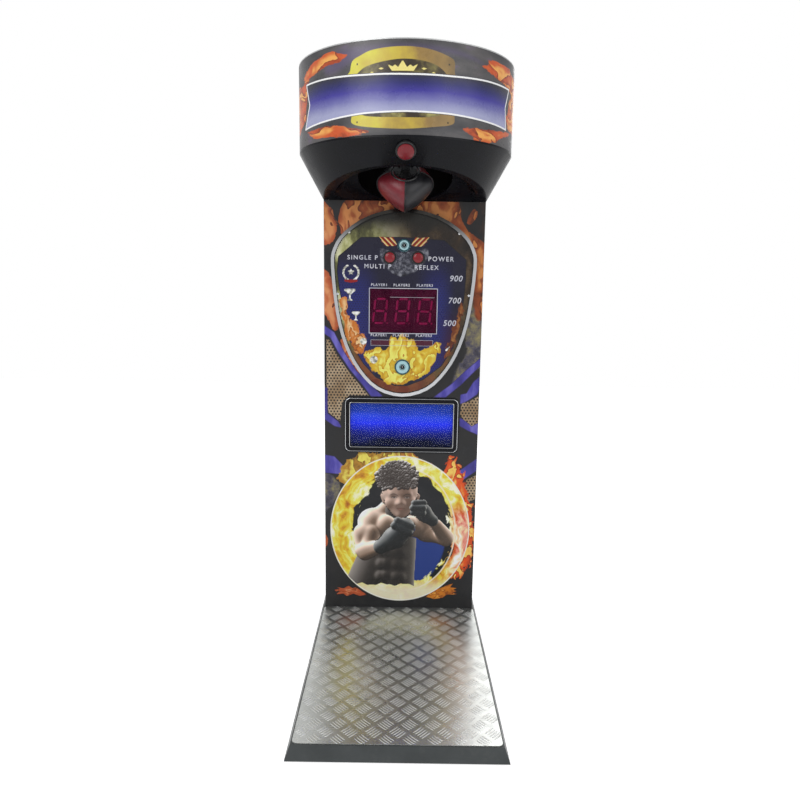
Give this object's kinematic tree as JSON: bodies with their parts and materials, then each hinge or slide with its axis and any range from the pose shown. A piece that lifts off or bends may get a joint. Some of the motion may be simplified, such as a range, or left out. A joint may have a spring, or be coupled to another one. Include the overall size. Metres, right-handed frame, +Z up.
{
  "type": "boxing punch machine",
  "caption": "Floor-standing strength tester: a punch bag swings down from a curved lit hood over a column with a shield-shaped score panel, a message screen and a tread-plate platform.",
  "frame": {"origin": "on the floor, under the centre of the machine's box", "axes": "+Z up, -Y towards the player, +X to the right of someone facing the machine"},
  "size_m": [0.766, 1.272, 2.1],
  "materials": {
    "steel_frame": "satin black paint",
    "tube_frame": "satin black paint over welded tube",
    "skirt_paint": "satin charcoal paint",
    "tread_aluminium": "bright five-bar tread",
    "printed_board": "printed vinyl on board",
    "plain_board": "black vinyl on board",
    "zinc": "zinc plated",
    "chromed_trim": "chromed plastic",
    "chrome": "polished",
    "printed_panel": "print under clear acrylic",
    "smoked_window": "smoked acrylic",
    "digit_housing": "dark plastic",
    "black_plastic": "satin",
    "red_plastic": "glossy",
    "screen_glass": "polished",
    "marquee_acrylic": "print on lit acrylic",
    "gloss_black": "glossy vacuum-formed",
    "sheet_aluminium": "plain sheet",
    "lamp_white": "frosted",
    "rubber": "matte",
    "arm_paint": "satin black paint",
    "bag_vinyl": "glossy red and black panels",
    "circuit_board": "solder mask"
  },
  "bodies": {
    "cabinet": {"back_panel": "plain_board", "base_frame": "steel_frame", "base_skirt": "skirt_paint", "bottom_board": "plain_board", "control_board": "circuit_board", "door_hinge_leaf": "zinc", "encoder_sensor": "black_plastic", "front_panel": "printed_board", "hold_magnet": "zinc", "hood_back": "plain_board", "hood_frame": "tube_frame", "hood_marquee": "marquee_acrylic", "hood_shroud": "gloss_black", "hood_side_left": "printed_board", "hood_side_right": "printed_board", "hood_top": "plain_board", "lamp_lower": "lamp_white", "lamp_rack": "sheet_aluminium", "lamp_upper": "lamp_white", "levelling_foot_front_left": "rubber", "levelling_foot_front_right": "rubber", "levelling_foot_rear_left": "rubber", "levelling_foot_rear_right": "rubber", "mechanism_bracket": "steel_frame", "pivot_bearing_left": "zinc", "pivot_bearing_right": "zinc", "power_inlet": "black_plastic", "power_supply": "sheet_aluminium", "screen_bezel": "black_plastic", "screen_glass": "screen_glass", "screen_module": "black_plastic", "side_panel_left": "printed_board", "side_panel_right": "printed_board", "speaker": "black_plastic", "start_button_body": "black_plastic", "stop_buffer": "rubber", "tread_plate": "tread_aluminium"},
    "swing": {"swing_arm": "arm_paint", "encoder_disc": "zinc", "punch_bag": "bag_vinyl"},
    "start_button": {"start_button_cap": "red_plastic"},
    "score_panel": {"shield_rim": "chromed_trim", "shield_plate": "printed_panel", "display_window": "smoked_window", "display_digit_hundreds": "digit_housing", "display_digit_tens": "digit_housing", "display_digit_units": "digit_housing", "mode_button_left_body": "black_plastic", "mode_button_right_body": "black_plastic", "upper_lock_barrel": "chrome", "lower_lock_barrel": "chrome"},
    "mode_button_left": {"mode_button_left_cap": "red_plastic"},
    "mode_button_right": {"mode_button_right_cap": "red_plastic"},
    "upper_lock": {"upper_lock_plug": "zinc"},
    "lower_lock": {"lower_lock_plug": "zinc"},
    "rear_door": {"rear_door": "plain_board"},
    "rear_door_lock": {"door_lock": "zinc"},
    "power_switch": {"power_switch": "red_plastic"},
    "wheel_left": {"transport_wheel_left": "rubber"},
    "wheel_right": {"transport_wheel_right": "rubber"}
  },
  "joints": [
    {"name": "bag_swing", "type": "hinge", "parent": "cabinet", "child": "swing", "pos_m": [0, -0.047, 1.785], "axis": [-1, 0, 0], "range_deg": [0, 50]},
    {"name": "start_button_press", "type": "slide", "parent": "cabinet", "child": "start_button", "axis": [0, 0.7222, 0.6917], "range_m": [0, 0.004], "stiffness_N_per_m": 400},
    {"name": "score_panel_pull", "type": "slide", "parent": "cabinet", "child": "score_panel", "axis": [0, -1, 0], "range_m": [0, 0.018]},
    {"name": "mode_button_left_press", "type": "slide", "parent": "score_panel", "child": "mode_button_left", "axis": [0, 1, 0], "range_m": [0, 0.003], "stiffness_N_per_m": 400},
    {"name": "mode_button_right_press", "type": "slide", "parent": "score_panel", "child": "mode_button_right", "axis": [0, 1, 0], "range_m": [0, 0.003], "stiffness_N_per_m": 400},
    {"name": "upper_lock_turn", "type": "hinge", "parent": "score_panel", "child": "upper_lock", "pos_m": [0, 0.1867, 1.5], "axis": [0, -1, 0], "range_deg": [0, 90]},
    {"name": "lower_lock_turn", "type": "hinge", "parent": "score_panel", "child": "lower_lock", "pos_m": [0, 0.1867, 1.044], "axis": [0, 1, 0], "range_deg": [0, 90]},
    {"name": "rear_door_hinge", "type": "hinge", "parent": "cabinet", "child": "rear_door", "pos_m": [-0.199, 0.576, 0.35], "axis": [0, 0, 1], "range_deg": [0, 110]},
    {"name": "rear_door_lock_turn", "type": "hinge", "parent": "rear_door", "child": "rear_door_lock", "pos_m": [0.165, 0.57, 0.7], "axis": [0, 1, 0], "range_deg": [0, 90]},
    {"name": "power_switch_rock", "type": "hinge", "parent": "cabinet", "child": "power_switch", "pos_m": [0.12, 0.5693, 0.214], "axis": [1, 0, 0], "range_deg": [0, 20]},
    {"name": "wheel_left_spin", "type": "hinge", "parent": "cabinet", "child": "wheel_left", "pos_m": [-0.235, 0.608, 0.032], "axis": [1, 0, 0], "continuous": true},
    {"name": "wheel_right_spin", "type": "hinge", "parent": "cabinet", "child": "wheel_right", "pos_m": [0.235, 0.608, 0.032], "axis": [1, 0, 0], "continuous": true}
  ]
}
